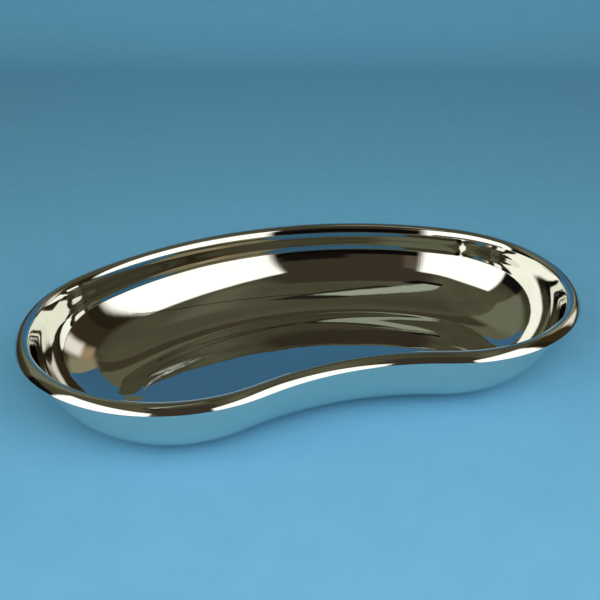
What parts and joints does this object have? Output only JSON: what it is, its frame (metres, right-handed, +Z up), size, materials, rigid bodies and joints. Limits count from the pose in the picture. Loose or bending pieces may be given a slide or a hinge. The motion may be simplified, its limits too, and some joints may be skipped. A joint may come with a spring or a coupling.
{
  "type": "kidney dish",
  "caption": "Kidney-shaped dish pressed from one sheet of polished stainless steel, with a flat floor, curved walls and a rounded turned-out rim, for holding instruments, dressings or fluids.",
  "frame": {"origin": "middle of the dish's bounding box, on the surface that it rests on", "axes": "+X along the dish's length, -Y towards the concave waist, +Z up out of the bowl"},
  "size_m": [0.25, 0.1507, 0.0385],
  "materials": {
    "polished_steel": "mirror-polished stainless steel"
  },
  "bodies": {
    "root": {"dish": "polished_steel"}
  },
  "joints": []
}
